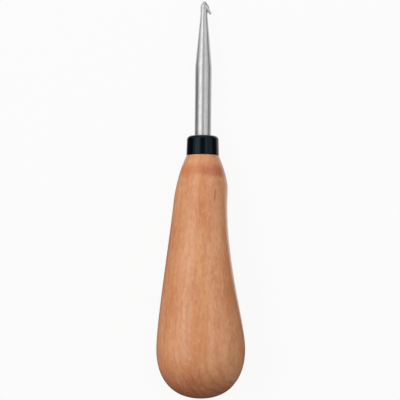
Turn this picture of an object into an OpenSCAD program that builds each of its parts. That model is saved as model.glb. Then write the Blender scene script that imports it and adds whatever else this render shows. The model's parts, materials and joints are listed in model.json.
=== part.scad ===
// Rug hook: a turned and carved wooden handle, a black ferrule and a steel shank that tapers to a barbed hook.
// The tool lies on a flat surface, Z = 0, as it would on a table: it rests on the underside of the bulb
// and of the nose, with the hook just clear. The hook points along +Y and its mouth opens towards +X.
// Every piece is drawn upright about its own axis, with the round end of the handle at the origin,
// and lie_down() then sets the whole tool down.

/* [Handle] */
// Length of the wood from its round end to the shoulder under the ferrule
handle_len = 88; // [84:0.5:96]
// Width across the bulb, in the plane of the hook
bulb_w = 32.1; // [28:0.1:36]
// Distance of the widest place from the round end
bulb_at = 18; // [16:0.5:22]
// Width where the straight flank turns into the nose
nose_w = 20.8; // [18:0.1:23]
// Distance of that place from the round end
nose_at = 70.5; // [66:0.5:74]
// Width of the wood at the shoulder under the ferrule
collar_w = 12; // [11.9:0.1:13]
// Thickness of the bulb as a share of its width
bulb_oval = 0.9; // [0.84:0.01:0.96]

/* [Thumb rest] */
// Distance from the round end to the upper end of the thumb rest
rest_top_at = 78.5; // [76:0.5:81]
// Distance from the handle's axis to the upper end of the thumb rest
rest_top_r = 9.6; // [9.2:0.1:10.4]
// How far the thumb rest leans in below its upper end, in degrees
rest_lean = 6; // [3:0.5:8]

/* [Ferrule] */
// Length of the ferrule
ferrule_len = 7.1; // [6:0.1:9]
// Outer width at its lower rim
ferrule_w = 11.8; // [11.4:0.1:11.9]
// Outer width under its rounded shoulder
ferrule_top_w = 11.5; // [11:0.1:11.9]
// Radius of the rounded shoulder
shoulder_r = 1.5; // [0.8:0.1:2]
// Thickness of the end wall that the tang passes through
ferrule_end = 1.9; // [1.5:0.1:2.5]

/* [Shank and hook] */
// Diameter of the straight part of the shank
shank_d = 6; // [5.6:0.1:6.4]
// Length that stands out of the ferrule, hook included
shank_len = 49; // [44:0.5:56]
// Length of the straight part that stands out of the ferrule
shank_straight = 25; // [18:0.5:27]
// Diameter of the neck below the hook's mouth
neck_d = 2.55; // [2.4:0.05:2.7]
// How far the tip of the barb stands from the shank's axis
barb_reach = 2.3; // [2.2:0.05:2.5]
// How far the barb hangs down, measured from the tip of the tool
barb_drop = 4.45; // [4.2:0.05:4.8]

/* [Tang in the handle] */
// Diameter of the tang
tang_d = 5; // [4.5:0.1:5.2]
// Length of the tang, from the shank's shoulder to its buried end
tang_len = 40; // [28:1:46]
// Diameter of the hole drilled in the wood
bore_d = 5.5; // [5.4:0.1:5.8]
// Diameter of the wooden tenon inside the ferrule
tenon_d = 9.4; // [8.8:0.1:9.8]

/* [Hidden] */

wood_color = "#cb8f66";
ferrule_color = "#15171a";
steel_color = "#b9bbbe";
adhesive_color = "#d8c48a";

// Points that share an exact circle: any number above 12 keeps the surface round
round_fn = 64;
// Sides of each ring of the carved handle, and curve steps of its three stretches and of the thumb rest
handle_sides = 48;
dome_steps = 13;
flank_steps = 16;
nose_steps = 8;
rest_steps = 24;
// Sides of the balls that the head of the hook is blended from
ball_fn = 28;

// How far each stretch of the outline keeps its direction before it bends
dome_pull = 9.4;
bulb_pull_below = 12;
bulb_pull_above = 10;
flank_pull = 14;
nose_pull = 6;
collar_pull = 5;
// Lean of the flank and of the wood at the collar, in degrees from the axis
flank_lean = 5.5;
collar_lean = 26;
// Rounded edge of the wood under the ferrule
collar_edge = 0.4;
// Length of the stretch over which the oval handle turns round
round_over = 46;
// How sharply the thumb rest ends on both sides: higher is narrower
rest_power = 5;
rest_pull_top = 24;
rest_pull_end = 10;

// Gap between the tang and the hole in the ferrule
ferrule_gap = 0.05;
shoulder_steps = 8;
tenon_len = ferrule_len - ferrule_end;
wood_end = handle_len + tenon_len;
ferrule_top = handle_len + ferrule_len;
tool_len = ferrule_top + shank_len;

// Distance of the balance point from the round end
balance_at = 58;

// Where the taper ends in the neck, measured from the tip of the tool
taper_top = 5;

// Rings are cut in the tang for the adhesive to grip, and the hole goes on past its end to a drill point
tang_end = ferrule_top - tang_len;
tang_chamfer = 0.6;
groove_depth = 0.3;
groove_w = 1.2;
groove_pitch = 6;
groove_count = 4;
glue_below = 1.5;
drill_point = 59;

// The balls of the hook's head: [distance from the axis, distance from the tip, radius]
head_tip = [0.18, 0.62, 0.62];
head_nose = [0.02, 1.95, 1.28];
head_side = [0.84, 2.1, 0.97];
head_neck = [0, 4.2, neck_d / 2];
barb_root = [1.5, 3.3, 0.5];
barb_tip = [barb_reach, barb_drop, 0.34];

// A curve through p[0] and p[3] that is pulled towards p[1] and p[2]
function bend(p, t) =
    pow(1 - t, 3) * p[0] + 3 * pow(1 - t, 2) * t * p[1] + 3 * (1 - t) * t * t * p[2] + pow(t, 3) * p[3];
function curve(p, steps) = [for (i = [0:steps]) bend(p, i / steps)];
function all_but_last(list) = [for (i = [0:len(list) - 2]) list[i]];

// Half outline of the handle as [radius, height], from the round end up to the collar
pole = [0, 0];
widest = [bulb_w / 2, bulb_at];
nose = [nose_w / 2, nose_at];
collar = [collar_w / 2, handle_len - collar_edge];
flank_way = [-sin(flank_lean), cos(flank_lean)];
collar_way = [-sin(collar_lean), cos(collar_lean)];
dome = curve([pole, pole + [dome_pull, 0], widest - [0, bulb_pull_below], widest], dome_steps);
flank = curve([widest, widest + [0, bulb_pull_above], nose - flank_pull * flank_way, nose], flank_steps);
shoulder = curve([nose, nose + nose_pull * flank_way, collar - collar_pull * collar_way, collar], nose_steps);
collar_rim = [collar_w / 2 - collar_edge, handle_len];
outline = concat(all_but_last(dome), all_but_last(flank), shoulder, [collar_rim]);

// Outline of the thumb rest on the mouth's side of the handle
rest_start = [rest_top_r, rest_top_at];
rest_way = [-sin(rest_lean), -cos(rest_lean)];
rest = curve([rest_start, rest_start + rest_pull_top * rest_way, widest + [0, rest_pull_end], widest], rest_steps);
rest_table = [for (i = [rest_steps:-1:0]) [rest[i].y, rest[i].x]];

function in_rest(z) = z > bulb_at && z < rest_top_at;
function rest_depth(p) = in_rest(p.y) ? max(0, p.x - lookup(p.y, rest_table)) : 0;
function ease(t) = t * t * (3 - 2 * t);
function oval(z) = bulb_oval + (1 - bulb_oval) * ease(max(0, (z - handle_len + round_over) / round_over));
function thick(p) = p.x * oval(p.y);

// One ring of the handle: an oval whose side towards the mouth is pressed in by the thumb rest
function ring(p) = [
    for (i = [0:handle_sides - 1])
        let (a = 360 * i / handle_sides)
        [p.x * cos(a) - rest_depth(p) * pow(max(0, cos(a)), rest_power), thick(p) * sin(a), p.y]
];

module handle_body() {
    rings = len(outline) - 1;
    points = concat([[0, 0, 0]], [for (r = [1:rings]) each ring(outline[r])]);
    function at(r, i) = 1 + (r - 1) * handle_sides + i % handle_sides;
    faces = concat(
        [for (i = [0:handle_sides - 1]) [0, at(1, i), at(1, i + 1)]],
        [for (r = [1:rings - 1]) for (i = [0:handle_sides - 1]) [at(r, i), at(r + 1, i), at(r + 1, i + 1)]],
        [for (r = [1:rings - 1]) for (i = [0:handle_sides - 1]) [at(r, i), at(r + 1, i + 1), at(r, i + 1)]],
        [[for (i = [handle_sides - 1:-1:0]) at(rings, i)]]
    );
    polyhedron(points, faces);
}

module bore(over = 0) {
    point_h = bore_d / 2 / tan(drill_point);
    translate([0, 0, tang_end - glue_below]) {
        cylinder(d = bore_d, h = wood_end - tang_end + glue_below + over, $fn = round_fn);
        translate([0, 0, -point_h]) cylinder(d1 = 0, d2 = bore_d, h = point_h, $fn = round_fn);
    }
}

module shank_outline() {
    grooves = [
        for (i = [groove_count - 1:-1:0])
            let (z = tang_end + (i + 1) * groove_pitch)
            each [
                [tang_d / 2, z + groove_w],
                [tang_d / 2 - groove_depth, z + groove_w - groove_depth],
                [tang_d / 2 - groove_depth, z + groove_depth],
                [tang_d / 2, z]
            ]
    ];
    polygon(concat(
        [[0, tool_len - head_neck.y], [neck_d / 2, tool_len - head_neck.y]],
        [[neck_d / 2, tool_len - taper_top], [shank_d / 2, ferrule_top + shank_straight]],
        [[shank_d / 2, ferrule_top], [tang_d / 2, ferrule_top]],
        grooves,
        [[tang_d / 2, tang_end + tang_chamfer], [tang_d / 2 - tang_chamfer, tang_end], [0, tang_end]]
    ));
}

module ball(b) {
    translate([b[0], 0, tool_len - b[1]]) sphere(r = b[2], $fn = ball_fn);
}

// The head above the throat, the neck under it, and the barb that hangs from its side
module hook_head() {
    hull() {
        ball(head_tip);
        ball(head_nose);
        ball(head_side);
    }
    hull() {
        ball(head_nose);
        ball(head_neck);
    }
    hull() {
        ball(head_side);
        ball(barb_root);
    }
    hull() {
        ball(barb_root);
        ball(barb_tip);
    }
}

// How deep each point of the outline lies below the tool's origin when the hook end is tipped down by a degrees
function depths(a) = [for (p = outline) thick(p) * cos(a) + p.y * sin(a)];
function deepest_at(a) = let (d = depths(a)) outline[search(max(d), d)[0]].y;
// The tilt at which the tool settles, found by halving: less tilt stands it behind its balance point, more
// tilt in front of it
function rest_tilt(low, high, steps) =
    let (mid = (low + high) / 2)
    steps == 0 ? mid
    : deepest_at(mid) < balance_at ? rest_tilt(mid, high, steps - 1)
    : rest_tilt(low, mid, steps - 1);

tilt = rest_tilt(0, 15, 30);
back_end = min([for (p = outline) p.y * cos(tilt) - thick(p) * sin(tilt)]);
front_end = (tool_len - head_tip[1]) * cos(tilt) + head_tip[2];

module lie_down() {
    translate([0, -(back_end + front_end) / 2, max(depths(tilt))]) rotate([-(90 + tilt), 0, 0]) children();
}

module handle() {
    color(wood_color)
        lie_down()
            difference() {
                union() {
                    handle_body();
                    translate([0, 0, handle_len]) cylinder(d = tenon_d, h = tenon_len, $fn = round_fn);
                }
                bore(over = 1);
            }
}

module ferrule() {
    shoulder_arc = [
        for (i = [0:shoulder_steps])
            let (a = 90 * i / shoulder_steps)
            [ferrule_top_w / 2 - shoulder_r * (1 - cos(a)), ferrule_top - shoulder_r * (1 - sin(a))]
    ];
    hole_r = tang_d / 2 + ferrule_gap;
    color(ferrule_color)
        lie_down()
            rotate_extrude($fn = round_fn)
                polygon(concat(
                    [[tenon_d / 2, handle_len], [ferrule_w / 2, handle_len]],
                    shoulder_arc,
                    [[hole_r, ferrule_top], [hole_r, wood_end], [tenon_d / 2, wood_end]]
                ));
}

module hook_shank() {
    color(steel_color)
        lie_down() {
            rotate_extrude($fn = round_fn) shank_outline();
            hook_head();
        }
}

module tang_adhesive() {
    color(adhesive_color)
        lie_down()
            difference() {
                bore();
                rotate_extrude($fn = round_fn) shank_outline();
            }
}

handle();
ferrule();
hook_shank();
tang_adhesive();
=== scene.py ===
import json
import math

import bmesh
import bpy
import numpy as np
from mathutils import Matrix, Vector


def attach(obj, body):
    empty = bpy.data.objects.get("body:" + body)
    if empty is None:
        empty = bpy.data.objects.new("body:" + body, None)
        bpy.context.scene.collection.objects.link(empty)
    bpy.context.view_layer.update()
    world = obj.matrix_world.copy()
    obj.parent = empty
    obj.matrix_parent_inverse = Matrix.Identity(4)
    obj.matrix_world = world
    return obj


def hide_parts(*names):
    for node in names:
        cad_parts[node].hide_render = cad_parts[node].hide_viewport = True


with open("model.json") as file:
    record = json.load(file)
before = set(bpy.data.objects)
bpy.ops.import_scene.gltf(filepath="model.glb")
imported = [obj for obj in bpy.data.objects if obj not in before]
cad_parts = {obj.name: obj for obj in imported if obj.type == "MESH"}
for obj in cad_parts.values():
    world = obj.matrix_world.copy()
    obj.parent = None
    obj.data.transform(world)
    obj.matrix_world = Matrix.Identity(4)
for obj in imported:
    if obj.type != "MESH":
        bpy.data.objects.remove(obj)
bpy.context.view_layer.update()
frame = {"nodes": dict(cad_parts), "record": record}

# Looks of a rug hook: a lacquered wooden handle, a black ferrule and a polished steel hook.
# Every piece is built about the tool's own axis in millimetres: z runs from the handle's round end
# to the tip of the hook, x towards the hook's mouth and -y towards the side that lies uppermost.
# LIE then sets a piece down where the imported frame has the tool.

MM = 0.001

# Handle
HANDLE_LEN = 88
BULB_W = 32.1
BULB_AT = 18
NOSE_W = 20.8
NOSE_AT = 70.5
COLLAR_W = 12
BULB_OVAL = 0.9
ROUND_OVER = 46
DOME_PULL = 9.4
BULB_PULLS = (12, 10)
FLANK_PULL = 14
FLANK_LEAN = 5.5
NOSE_PULL = 6
COLLAR_PULL = 5
COLLAR_LEAN = 26
COLLAR_EDGE = 0.4

# Thumb rest
REST_TOP_AT = 78.5
REST_TOP_R = 9.6
REST_LEAN = 6
REST_PULLS = (24, 10)
REST_POWER = 5
REST_SOFT = 0.5
REST_CRISP_AT = 45
REST_SOFT_AT = 70

# How far the smooth skin stays inside the solid's facets
INSET = 0.012

# Ferrule
FERRULE_LEN = 7.1
FERRULE_W = 11.8
FERRULE_TOP_W = 11.5
SHOULDER_R = 1.5
FERRULE_END = 1.9
FERRULE_EDGE = 0.18
HOLE_W = 5.1
TENON_W = 9.4

# Shank and hook
SHANK_W = 6
SHANK_LEN = 49
SHANK_STRAIGHT = 25
SHANK_EDGE = 0.12
NECK_W = 2.55
TAPER_TOP = 5
TAPER_LEAD = 1
TANG_W = 5
TANG_LEN = 40
TANG_CHAMFER = 0.6
GROOVE_DEPTH = 0.3
GROOVE_W = 1.2
GROOVE_PITCH = 6
GROOVE_COUNT = 4
BORE_W = 5.5
BORE_BELOW_TANG = 1.5
DRILL_POINT = 1.65

TENON_TOP = HANDLE_LEN + FERRULE_LEN - FERRULE_END
FERRULE_TOP = HANDLE_LEN + FERRULE_LEN
TOOL_LEN = FERRULE_TOP + SHANK_LEN
TANG_END = FERRULE_TOP - TANG_LEN

HANDLE_SIDES = 144
TURNED_SIDES = 96


def lying_down():
    """The matrix from the tool's own axes to the row frame, taken from the shank's mount."""
    mount = frame["record"]["mounts"][0]
    along = Vector(mount["axis"]).normalized()
    mouth = Vector((1, 0, 0))
    down = along.cross(mouth)
    start = Vector(mount["pos_m"]) - along * (FERRULE_TOP + SHANK_STRAIGHT / 2) * MM
    return Matrix.Translation(start) @ Matrix((mouth, down, along)).transposed().to_4x4()


LIE = lying_down()


# Curves and meshes


def bend(a, pull_a, pull_b, b, steps):
    """Points from a to b on a curve that leaves a towards pull_a and reaches b from pull_b."""
    a, pull_a, pull_b, b = (Vector(p) for p in (a, pull_a, pull_b, b))
    made = []
    for i in range(steps + 1):
        t = i / steps
        s = 1 - t
        made.append(s**3 * a + 3 * s * s * t * pull_a + 3 * s * t * t * pull_b + t**3 * b)
    return made


def arc(centre, radius, start, end, steps):
    """Points of (radius, height) on an arc, by angles in degrees, 0 being outwards and 90 up."""
    made = []
    for i in range(steps + 1):
        a = math.radians(start + (end - start) * i / steps)
        made.append(Vector((centre[0] + radius * math.cos(a), centre[1] + radius * math.sin(a))))
    return made


def turned(profile, sides=TURNED_SIDES):
    """One ring of points for each (radius, height) of a profile, or a single point on the axis."""
    rings = []
    for r, z in profile:
        count = 1 if r == 0 else sides
        turns = [math.tau * i / sides for i in range(count)]
        rings.append([Vector((r * math.cos(a), r * math.sin(a), z)) for a in turns])
    return rings


def add_skin(bm, rings, shut=False):
    """Joins each ring to the next with faces.

    A ring of one point is a pole, and shut joins the last ring to the first.
    """
    rows = [[bm.verts.new(p) for p in ring] for ring in rings]
    after = rows[1:] + ([rows[0]] if shut else [])
    for low, high in zip(rows, after):
        count = max(len(low), len(high))
        for i in range(count):
            j = (i + 1) % count
            corners = [low[i % len(low)], low[j % len(low)], high[j % len(high)], high[i % len(high)]]
            bm.faces.new(list(dict.fromkeys(corners)))
    return rows


def new_object(name, data):
    made = bpy.data.objects.new(name, data)
    bpy.context.scene.collection.objects.link(made)
    return made


def mesh_object(name, bm):
    mesh = bpy.data.meshes.new(name)
    bm.to_mesh(mesh)
    bm.free()
    return new_object(name, mesh)


def piece(name, bm, material, node, sharp=38):
    """Lays a mesh in millimetres down as a finished piece that stands for a CAD node.

    Edges between faces that turn by more than sharp degrees stay crisp.
    """
    bmesh.ops.transform(bm, matrix=LIE @ Matrix.Scale(MM, 4), verts=bm.verts)
    bm.normal_update()
    for face in bm.faces:
        face.smooth = True
    for edge in bm.edges:
        edge.smooth = len(edge.link_faces) != 2 or edge.calc_face_angle(0) < math.radians(sharp)
    made = mesh_object(name, bm)
    made.data.materials.append(material)
    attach(made, "root")
    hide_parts(node)
    return made


# Nodes of a material


class Paint:
    """A material under construction. A value is a number or another node's output."""

    def __init__(self, name):
        self.material = bpy.data.materials.new(name)
        self.material.use_nodes = True
        self.tree = self.material.node_tree
        self.shader = self.tree.nodes["Principled BSDF"]
        upright = self.node("Mapping", vector_type="TEXTURE")
        upright.inputs["Location"].default_value = LIE.translation
        upright.inputs["Rotation"].default_value = LIE.to_euler()
        upright.inputs["Scale"].default_value = (MM, MM, MM)
        self.tree.links.new(self.node("TexCoord").outputs["Object"], upright.inputs["Vector"])
        self.place = upright.outputs["Vector"]

    def node(self, kind, **settings):
        made = self.tree.nodes.new("ShaderNode" + kind)
        for name, value in settings.items():
            setattr(made, name, value)
        return made

    def put(self, socket, value):
        if isinstance(value, bpy.types.NodeSocket):
            self.tree.links.new(value, socket)
        else:
            socket.default_value = value

    def surface(self, **values):
        for name, value in values.items():
            self.put(self.shader.inputs[name.replace("_", " ")], value)

    def vector(self, operation, a, b=(0, 0, 0)):
        made = self.node("VectorMath", operation=operation)
        self.put(made.inputs[0], a)
        self.put(made.inputs[1], b)
        return made.outputs["Vector"]

    def math(self, operation, a, b=0.0, c=0.0):
        made = self.node("Math", operation=operation)
        for socket, value in zip(made.inputs, (a, b, c)):
            self.put(socket, value)
        return made.outputs[0]

    def part(self, value, letter):
        made = self.node("SeparateXYZ")
        self.put(made.inputs[0], value)
        return made.outputs[letter]

    def noise(self, stretch=(1, 1, 1), scale=1.0, detail=2.0, rough=0.5, shift=(0, 0, 0)):
        """Smooth noise from 0 to 1. scale is in cells a millimetre, and stretch its share by axis."""
        at = self.vector("ADD", self.vector("MULTIPLY", self.place, stretch), shift)
        made = self.node("TexNoise", noise_dimensions="3D")
        settings = {"Vector": at, "Scale": scale, "Detail": detail, "Roughness": rough}
        for name, value in settings.items():
            self.put(made.inputs[name], value)
        return made.outputs["Fac"]

    def step(self, value, low, high, out_low=0.0, out_high=1.0):
        """Goes smoothly from out_low to out_high as value goes from low to high."""
        made = self.node("MapRange", interpolation_type="SMOOTHSTEP")
        for socket, v in zip(made.inputs, (value, low, high, out_low, out_high)):
            self.put(socket, v)
        return made.outputs[0]

    def mix(self, share, a, b, blend="MIX"):
        made = self.node("Mix", data_type="RGBA", blend_type=blend)
        colours = [s for s in made.inputs if s.type == "RGBA"]
        self.put(made.inputs["Factor"], share)
        self.put(colours[0], a)
        self.put(colours[1], b)
        return [s for s in made.outputs if s.type == "RGBA"][0]

    def bump(self, height, depth):
        """height is from 0 to 1, and depth is its real size in millimetres."""
        made = self.node("Bump")
        made.inputs["Distance"].default_value = depth * MM
        self.put(made.inputs["Height"], height)
        return made.outputs["Normal"]


def colour(red, green, blue):
    """A colour for a shader from its value on a screen, each part from 0 to 255."""
    parts = [v / 255 for v in (red, green, blue)]
    return (*[((v + 0.055) / 1.055) ** 2.4 if v > 0.04045 else v / 12.92 for v in parts], 1.0)


# Materials


def wood():
    """Fine-grained wood under clear satin lacquer: flecks, growth rings, and a darker round end,
    partly end grain and partly painted shade.
    """
    p = Paint("lacquered_wood")
    x, y, z = (p.part(p.place, letter) for letter in "XYZ")
    cloud = p.noise((1, 1, 0.35), 0.11, 3, 0.55)
    tone = p.mix(p.step(cloud, 0.32, 0.68), colour(214, 140, 94), colour(226, 161, 114))

    # Growth rings about a pith outside the handle, clearest on the end grain, and long fibres
    edge = p.math("MULTIPLY", p.noise((1, 1, 1), 0.28, 2, 0.5, (3, 3, 3)), 3.0)
    # Share of the round end: where its end grain shows, and where painted shade darkens it further
    # down
    end = p.step(p.math("ADD", z, edge), 13, 1, 0, 0.8)
    wander = p.noise((1, 1, 0.25), 0.16, 2, 0.5, (7, 3, 1))
    off_x = p.math("POWER", p.math("ADD", x, 31.0), 2.0)
    off_y = p.math("POWER", p.math("ADD", y, -19.0), 2.0)
    from_pith = p.math("SQRT", p.math("ADD", off_x, off_y))
    ring = p.math("SINE", p.math("MULTIPLY_ADD", from_pith, 2.6, p.math("MULTIPLY", wander, 12)))
    clear = p.math("MULTIPLY", p.step(ring, 0.1, 1.0), p.math("MULTIPLY_ADD", end, 0.4, 0.15))
    tone = p.mix(clear, tone, colour(178, 106, 70))
    fibre = p.noise((1, 1, 0.045), 2.6, 3, 0.6, (2, 9, 4))
    tone = p.mix(p.step(fibre, 0.5, 0.75, 0, 0.3), tone, colour(176, 108, 70))

    # Small lens-shaped flecks
    fleck = p.noise((1, 1, 0.42), 1.15, 2, 0.5, (5, 1, 8))
    tone = p.mix(p.step(fleck, 0.54, 0.66, 0, 0.25), tone, colour(190, 118, 80))
    tone = p.mix(p.step(fleck, 0.46, 0.34, 0, 0.22), tone, colour(236, 190, 152))

    # A red-brown band round the nose, painted darker on the mouth side as shade, a round end darkened
    # partly as end grain and partly as painted shade, and a mineral stain's streak
    band = p.math("ABSOLUTE", p.math("SUBTRACT", p.math("ADD", z, edge), 83.6))
    # Painted shade: the band's colour turns from orange to a darker red towards the mouth side, away
    # from the light
    red = p.mix(p.step(x, -5, 4), colour(206, 118, 66), colour(178, 88, 64))
    tone = p.mix(p.step(band, 3.4, 0.6, 0, 0.62), tone, red)
    # Painted shade: the round end is darkened partly for its end grain and partly for the shade that
    # falls there
    tone = p.mix(end, tone, p.mix(1.0, tone, colour(196, 160, 138), "MULTIPLY"))
    streak_x = p.math("SUBTRACT", x, p.math("MULTIPLY_ADD", z, 0.06, 0.2))
    off_streak = p.math("ADD", p.math("POWER", p.math("MULTIPLY", streak_x, 1.9), 2.0),
                        p.math("POWER", p.math("MULTIPLY", p.math("SUBTRACT", z, 72.8), 0.33), 2.0))
    on_top = p.step(y, 0.0, -2.0)
    streak = p.math("MULTIPLY", p.step(off_streak, 1.0, 0.0, 0, 0.45), on_top)
    tone = p.mix(streak, tone, colour(120, 66, 38))

    gloss = p.noise((1, 1, 0.3), 0.5, 2, 0.5, (1, 6, 2))
    p.surface(Base_Color=tone, Roughness=p.step(gloss, 0.3, 0.7, 0.5, 0.6), Specular_IOR_Level=0.1)
    p.surface(Coat_Weight=1.0, Coat_IOR=1.4, Coat_Roughness=0.24, Normal=p.bump(fibre, 0.012))
    return p.material


def ferrule_black():
    """Glossy black, with faint scuffs and a mould's fine grain."""
    p = Paint("black_ferrule")
    grain = p.noise((1, 1, 1), 6, 2, 0.5)
    scuff = p.noise((0.2, 0.2, 2.4), 1.6, 3, 0.6, (4, 4, 0))
    tone = p.mix(p.step(scuff, 0.5, 0.8, 0, 0.5), colour(3, 4, 5), colour(9, 10, 12))
    p.surface(Base_Color=tone, Roughness=p.step(scuff, 0.35, 0.75, 0.16, 0.27))
    p.surface(Specular_IOR_Level=0.27, Specular_Tint=colour(190, 225, 250))
    p.surface(Normal=p.bump(grain, 0.002))
    return p.material


def steel():
    """Polished steel: a soft sheen from fine lines along the shank, and a sharper gleam over it."""
    p = Paint("polished_steel")
    lines = p.noise((1, 1, 0.02), 3.2, 2, 0.5)
    wear = p.noise((1, 1, 0.5), 0.9, 3, 0.6, (3, 8, 1))
    tone = p.mix(p.step(wear, 0.35, 0.7), colour(192, 192, 194), colour(182, 181, 180))
    tone = p.mix(p.step(lines, 0.5, 0.75, 0, 0.2), tone, colour(160, 160, 161))
    p.surface(Base_Color=tone, Metallic=1.0, Roughness=p.step(wear, 0.3, 0.75, 0.36, 0.44))
    p.surface(Coat_Weight=1.0, Coat_IOR=2.1, Coat_Roughness=0.12)
    p.surface(Anisotropic=0.6, Normal=p.bump(lines, 0.0006))
    along = LIE.to_3x3() @ Vector((0, 0, 1))
    around = p.vector("CROSS_PRODUCT", along, p.node("NewGeometry").outputs["Normal"])
    p.surface(Tangent=p.vector("NORMALIZE", around))
    return p.material


def adhesive():
    """Clear amber cured adhesive with small bubbles, hidden in the handle."""
    p = Paint("cured_adhesive")
    bubble = p.noise((1, 1, 1), 1.8, 2, 0.5)
    tone = p.mix(p.step(bubble, 0.4, 0.7), colour(206, 172, 96), colour(228, 204, 140))
    p.surface(Base_Color=tone, Roughness=p.step(bubble, 0.4, 0.7, 0.2, 0.35))
    p.surface(Normal=p.bump(bubble, 0.05))
    return p.material


# Pieces


def handle_outline():
    """(radius, height) of the handle's outside, from its round end to the ferrule."""
    widest = Vector((BULB_W / 2, BULB_AT))
    nose = Vector((NOSE_W / 2, NOSE_AT))
    collar = Vector((COLLAR_W / 2, HANDLE_LEN - COLLAR_EDGE))
    flank_way = Vector((-math.sin(math.radians(FLANK_LEAN)), math.cos(math.radians(FLANK_LEAN))))
    collar_way = Vector((-math.sin(math.radians(COLLAR_LEAN)), math.cos(math.radians(COLLAR_LEAN))))
    dome = bend((0, 0), (DOME_PULL, 0), widest - Vector((0, BULB_PULLS[0])), widest, 34)
    flank = bend(widest, widest + Vector((0, BULB_PULLS[1])), nose - FLANK_PULL * flank_way, nose, 64)
    shoulder = bend(nose, nose + NOSE_PULL * flank_way, collar - COLLAR_PULL * collar_way, collar, 30)
    rim = arc((COLLAR_W / 2 - COLLAR_EDGE, HANDLE_LEN - COLLAR_EDGE), COLLAR_EDGE, 15, 90, 6)
    return dome[:-1] + flank[:-1] + shoulder + rim


def rest_line():
    """Heights and reaches of the thumb rest's middle line, carried on past its upper end."""
    lean = math.radians(REST_LEAN)
    start = Vector((REST_TOP_R, REST_TOP_AT))
    way = Vector((-math.sin(lean), -math.cos(lean)))
    widest = Vector((BULB_W / 2, BULB_AT))
    line = bend(start, start + REST_PULLS[0] * way, widest + Vector((0, REST_PULLS[1])), widest, 80)
    line = [start - way * (HANDLE_LEN - REST_TOP_AT)] + line
    return [p.y for p in reversed(line)], [p.x for p in reversed(line)]


def ease(t):
    t = min(1, max(0, t))
    return t * t * (3 - 2 * t)


def handle_rings():
    heights, reaches = rest_line()
    rings = []
    for r, z in handle_outline():
        if r == 0:
            rings.append([Vector((0, 0, z))])
            continue
        pressed = 0
        if z > BULB_AT:
            over = r - float(np.interp(z, heights, reaches))
            soft = REST_SOFT * ease((z - REST_CRISP_AT) / (REST_SOFT_AT - REST_CRISP_AT))
            pressed = (over + math.hypot(over, soft)) / 2
        thick = r * (BULB_OVAL + (1 - BULB_OVAL) * ease((z - HANDLE_LEN + ROUND_OVER) / ROUND_OVER))
        ring = []
        for i in range(HANDLE_SIDES):
            a = math.tau * i / HANDLE_SIDES
            inward = pressed * max(0, math.cos(a)) ** REST_POWER
            ring.append(Vector((r * math.cos(a) - inward, thick * math.sin(a), z)))
        rings.append(ring)
    thinner = 1 - 2 * INSET / BULB_W
    shorter = 1 - INSET / HANDLE_LEN
    return [
        [Vector((p.x * thinner, p.y * thinner, INSET + p.z * shorter)) for p in ring]
        for ring in rings
    ]


def handle():
    """The wood: its carved outside, its tenon, and the drilled hole for the tang."""
    bore_end = TANG_END - BORE_BELOW_TANG
    inside = [
        (TENON_W / 2, HANDLE_LEN),
        (TENON_W / 2, TENON_TOP),
        (BORE_W / 2, TENON_TOP),
        (BORE_W / 2, bore_end),
        (0, bore_end - DRILL_POINT),
    ]
    bm = bmesh.new()
    add_skin(bm, handle_rings() + turned(inside, HANDLE_SIDES))
    return piece("wood_handle", bm, wood(), "handle")


def ferrule():
    """The black cap: a rounded shoulder, softened edges, an end wall with a hole and a skirt."""
    foot = arc((FERRULE_W / 2 - FERRULE_EDGE, HANDLE_LEN + FERRULE_EDGE), FERRULE_EDGE, -90, 0, 5)
    shoulder = arc((FERRULE_TOP_W / 2 - SHOULDER_R, FERRULE_TOP - SHOULDER_R), SHOULDER_R, 0, 90, 14)
    lip = arc((HOLE_W / 2 + FERRULE_EDGE, FERRULE_TOP - FERRULE_EDGE), FERRULE_EDGE, 90, 180, 4)
    inside = [(HOLE_W / 2, TENON_TOP), (TENON_W / 2, TENON_TOP), (TENON_W / 2, HANDLE_LEN)]
    bm = bmesh.new()
    add_skin(bm, turned(foot + shoulder + lip + inside), shut=True)
    return piece("ferrule_cap", bm, ferrule_black(), "ferrule")


# The balls that the hook's head is blended from, each as (from the axis, from the tip, radius)
HEAD_TIP = (0.18, 0.64, 0.64)
HEAD_NOSE = (0.02, 1.95, 1.29)
HEAD_SIDE = (0.84, 2.1, 0.98)
HEAD_NECK = (0, 4.2, NECK_W / 2)
BARB_ROOT = (1.5, 3.3, 0.56)
BARB_TIP = (2.27, 4.42, 0.44)
HEAD_HULLS = (
    (HEAD_TIP, HEAD_NOSE, HEAD_SIDE),
    (HEAD_NOSE, HEAD_NECK),
    (HEAD_SIDE, BARB_ROOT),
    (BARB_ROOT, BARB_TIP),
)
# How fine the blend is, the distances from the tip where it is made true, cut and ended, the gap to
# the turned steel that is bridged, and how far from the axis the points are that aren't moved
HEAD_VOXEL = 0.07
HEAD_TRUE = (5.5, 7)
HEAD_CUT = 8.5
HEAD_END = 11
HEAD_BRIDGE = 0.2
HEAD_CORE = 0.5


def taper(from_tip):
    """Radius of the turned steel at a distance from the tip."""
    share = (from_tip - TAPER_TOP) / (SHANK_LEN - SHANK_STRAIGHT - TAPER_TOP)
    share = min(1, max(0, share))
    return (NECK_W + (SHANK_W - NECK_W) * share) / 2


def ball(x, from_tip, r):
    """Points all over one of the head's balls."""
    middle = Vector((x, 0, TOOL_LEN - from_tip))
    rings = turned(arc((0, 0), r, -88, 88, 22), 48)
    return [middle + p for ring in rings for p in ring]


def add_hull(bm, balls):
    """Adds the tightest skin round some balls."""
    made = [bm.verts.new(p) for one in balls for p in ball(*one)]
    bmesh.ops.convex_hull(bm, input=made, use_existing_faces=False)
    bmesh.ops.delete(bm, geom=[v for v in made if v.is_valid and not v.link_faces], context="VERTS")


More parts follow.
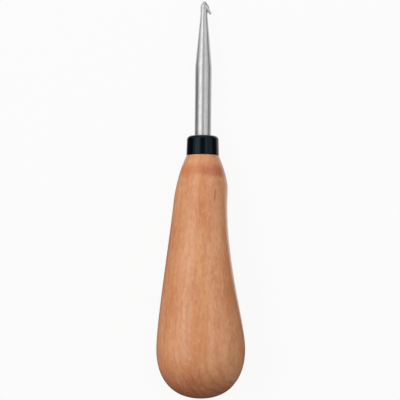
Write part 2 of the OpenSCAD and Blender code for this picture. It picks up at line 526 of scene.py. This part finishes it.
def blended_head():
    """The hook's head and neck as one smooth skin, cut open at HEAD_CUT from the tip."""
    bm = bmesh.new()
    for balls in HEAD_HULLS:
        add_hull(bm, balls)
    steps = [HEAD_END - (HEAD_END - HEAD_NECK[1]) * i / 12 for i in range(13)]
    neck = [(taper(u), TOOL_LEN - u) for u in steps]
    neck = [(0, TOOL_LEN - HEAD_END)] + neck + [(0, TOOL_LEN - HEAD_NECK[1])]
    add_skin(bm, turned(neck))
    bmesh.ops.recalc_face_normals(bm, faces=bm.faces)
    raw = mesh_object("head_blend", bm)
    remesh = raw.modifiers.new("blend", "REMESH")
    remesh.mode = "VOXEL"
    remesh.voxel_size = HEAD_VOXEL
    smooth = raw.modifiers.new("smooth", "SMOOTH")
    smooth.factor = 0.5
    smooth.iterations = 6
    shaped = raw.evaluated_get(bpy.context.evaluated_depsgraph_get()).to_mesh()
    bm = bmesh.new()
    bm.from_mesh(shaped)
    bpy.data.objects.remove(raw)
    for v in bm.verts:
        from_tip = TOOL_LEN - v.co.z
        pull = ease((from_tip - HEAD_TRUE[0]) / (HEAD_TRUE[1] - HEAD_TRUE[0]))
        out = math.hypot(v.co.x, v.co.y)
        if pull > 0 and out > HEAD_CORE:
            grow = 1 + pull * (taper(from_tip) / out - 1)
            v.co.x *= grow
            v.co.y *= grow
    cut = Vector((0, 0, TOOL_LEN - HEAD_CUT))
    everything = bm.verts[:] + bm.edges[:] + bm.faces[:]
    bmesh.ops.bisect_plane(bm, geom=everything, plane_co=cut, plane_no=(0, 0, -1), clear_outer=True)
    return bm


def shank_profile():
    """(radius, height) of the turned steel, from the buried end of the tang up to the head's cut."""
    profile = [(0, TANG_END), (TANG_W / 2 - TANG_CHAMFER, TANG_END)]
    profile += [(TANG_W / 2, TANG_END + TANG_CHAMFER)]
    for i in range(GROOVE_COUNT):
        z = TANG_END + (i + 1) * GROOVE_PITCH
        deep = TANG_W / 2 - GROOVE_DEPTH
        profile += [(TANG_W / 2, z), (deep, z + GROOVE_DEPTH)]
        profile += [(deep, z + GROOVE_W - GROOVE_DEPTH), (TANG_W / 2, z + GROOVE_W)]
    profile += [(TANG_W / 2, FERRULE_TOP), (SHANK_W / 2 - SHANK_EDGE, FERRULE_TOP)]
    profile += [(SHANK_W / 2, FERRULE_TOP + SHANK_EDGE)]
    straight = SHANK_LEN - SHANK_STRAIGHT
    heights = [FERRULE_TOP + SHANK_STRAIGHT * i / 6 for i in range(1, 6)]
    profile += [(SHANK_W / 2, z) for z in heights]
    first, last = straight + TAPER_LEAD, HEAD_CUT + HEAD_BRIDGE
    steps = [first - (first - last) * i / 40 for i in range(41)]
    profile += [(taper(u), TOOL_LEN - u) for u in steps]
    return profile


def hook_shank():
    """The steel in one skin: tang, shank, taper, neck and barbed head."""
    bm = blended_head()
    rim = [e for e in bm.edges if len(e.link_faces) == 1]
    rows = add_skin(bm, turned(shank_profile()))
    top = set(rows[-1])
    top_edges = [e for e in bm.edges if e.verts[0] in top and e.verts[1] in top]
    bmesh.ops.bridge_loops(bm, edges=rim + top_edges)
    bmesh.ops.recalc_face_normals(bm, faces=bm.faces)
    return piece("steel_hook", bm, steel(), "hook_shank")


handle()
ferrule()
hook_shank()
glue = frame["nodes"]["tang_adhesive"]
glue.data.materials.clear()
glue.data.materials.append(adhesive())


# Camera, straight above the tool

PHOTO_SIDE = 400
PIXEL = 0.362
CAMERA_UP = 4000
CAMERA_X = -0.79
CAMERA_Y = -0.15
CAMERA_ROLL = 0.55
SENSOR = 36


def camera():
    data = bpy.data.cameras.new("camera")
    made = new_object("camera", data)
    data.sensor_width = SENSOR
    data.lens = SENSOR * CAMERA_UP / (PHOTO_SIDE * PIXEL)
    data.clip_start = 0.05
    data.clip_end = 50
    made.location = Vector((CAMERA_X, CAMERA_Y, CAMERA_UP)) * MM
    made.rotation_euler = (0, 0, math.radians(CAMERA_ROLL))
    bpy.context.scene.camera = made


# Floor, surroundings and lamps


def white_to_camera(tree, lit, white, share):
    """Mixes a lit shader with plain white for rays from the camera, off gloss and through glass."""
    rays = tree.nodes.new("ShaderNodeLightPath")
    seen = tree.nodes.new("ShaderNodeMath")
    seen.operation = "ADD"
    tree.links.new(rays.outputs["Is Camera Ray"], seen.inputs[0])
    tree.links.new(rays.outputs["Is Glossy Ray"], seen.inputs[1])
    through = tree.nodes.new("ShaderNodeMath")
    through.operation = "ADD"
    through.use_clamp = True
    tree.links.new(seen.outputs[0], through.inputs[0])
    tree.links.new(rays.outputs["Is Transmission Ray"], through.inputs[1])
    part = tree.nodes.new("ShaderNodeMath")
    part.operation = "MULTIPLY"
    part.inputs[1].default_value = share
    tree.links.new(through.outputs[0], part.inputs[0])
    both = tree.nodes.new("ShaderNodeMixShader")
    tree.links.new(part.outputs[0], both.inputs[0])
    tree.links.new(lit, both.inputs[1])
    tree.links.new(white, both.inputs[2])
    return both.outputs[0]


FLOOR_SIZE = 8
FLOOR_TONE = 0.72
FLOOR_WHITE = 0.92


def floor():
    bm = bmesh.new()
    bmesh.ops.create_grid(bm, x_segments=4, y_segments=4, size=FLOOR_SIZE)
    made = mesh_object("floor", bm)
    paint = bpy.data.materials.new("floor_white")
    paint.use_nodes = True
    tree = paint.node_tree
    tree.nodes.clear()
    matt = tree.nodes.new("ShaderNodeBsdfDiffuse")
    matt.inputs["Color"].default_value = (FLOOR_TONE, FLOOR_TONE, FLOOR_TONE, 1)
    white = tree.nodes.new("ShaderNodeEmission")
    out = tree.nodes.new("ShaderNodeOutputMaterial")
    mixed = white_to_camera(tree, matt.outputs[0], white.outputs[0], FLOOR_WHITE)
    tree.links.new(mixed, out.inputs["Surface"])
    made.data.materials.append(paint)


WORLD_LIGHT = 0.22


def surroundings():
    """Weak even light from all round, and what glossy surfaces see where no lamp or card stands."""
    world = bpy.data.worlds.new("surroundings")
    bpy.context.scene.world = world
    world.use_nodes = True
    soft = world.node_tree.nodes["Background"]
    soft.inputs["Color"].default_value = (1, 1, 1, 1)
    soft.inputs["Strength"].default_value = WORLD_LIGHT


def lamp(name, place, turn, size, radiance):
    """A rectangular lamp at a place in metres. radiance is how bright it looks, 1 being white."""
    data = bpy.data.lights.new(name, "AREA")
    data.shape = "RECTANGLE"
    data.size, data.size_y = size
    data.energy = radiance * math.pi * size[0] * size[1]
    made = new_object(name, data)
    made.location = place
    made.rotation_euler = turn


LAMP_START = -0.25
LAMP_END = 0.8
LAMP_AWAY = 0.7


def softbox(name, low, high, radiance):
    """A lamp beside the tool's line, between two angles from straight up, minus being left."""
    middle = math.radians((low + high) / 2)
    width = 2 * LAMP_AWAY * math.tan(math.radians(high - low) / 2)
    place = (LAMP_AWAY * math.sin(middle), (LAMP_START + LAMP_END) / 2, LAMP_AWAY * math.cos(middle))
    lamp(name, place, (0, middle, 0), (width, LAMP_END - LAMP_START), radiance)


def hook_end_lamp():
    """A lamp beyond the hook that faces the tool's middle, so that the tip isn't dark."""
    place = (-0.05, 0.8, 0.35)
    turn = (-Vector(place)).to_track_quat("-Z", "Y").to_euler()
    lamp("hook_end", place, turn, (0.9, 0.5), 0.8)


def card(name, rows, shade):
    """A dark card that only glossy surfaces see, so that their edges don't show the white floor.

    rows gives, for each place along y, the (x, z) points of its section there, all in millimetres.
    """
    bm = bmesh.new()
    made_rows = [[bm.verts.new(Vector((x, y, z)) * MM) for x, z in line] for y, line in rows]
    for low, high in zip(made_rows, made_rows[1:]):
        for i in range(len(low) - 1):
            bm.faces.new((low[i], low[i + 1], high[i + 1], high[i]))
    made = mesh_object(name, bm)
    paper = bpy.data.materials.new(name)
    paper.use_nodes = True
    shader = paper.node_tree.nodes["Principled BSDF"]
    shader.inputs["Base Color"].default_value = (shade, shade, shade, 1)
    made.data.materials.append(paper)
    made.visible_camera = False
    made.visible_diffuse = False
    made.visible_shadow = False


camera()
floor()
surroundings()
card("left_card", [(y, [(-13, 0.4), (-100, 0.4), (-102, 45)]) for y in (-120, 72)], 0.03)
card("right_card", [
    (-120, [(16, 0.4), (100, 0.4), (102, 60)]),
    (-60, [(18, 0.4), (100, 0.4), (102, 60)]),
    (10, [(30, 0.4), (100, 0.4), (102, 40)]),
    (20, [(27, 0.4), (100, 0.4), (102, 20)]),
    (140, [(27, 0.4), (100, 0.4), (102, 20)]),
], 0.04)
card("end_card", [(y, [(-100, 0.5), (100, 0.5)]) for y in (-250, -70)], 0.05)
softbox("key", -54, -20, 1.75)
softbox("key_core", -45, -29, 1.8)
softbox("side", -80, -54, 0.75)
softbox("strip", 18, 30, 1.5)
softbox("fill", 30, 70, 0.75)
hook_end_lamp()
bpy.context.scene.view_settings.view_transform = "Standard"
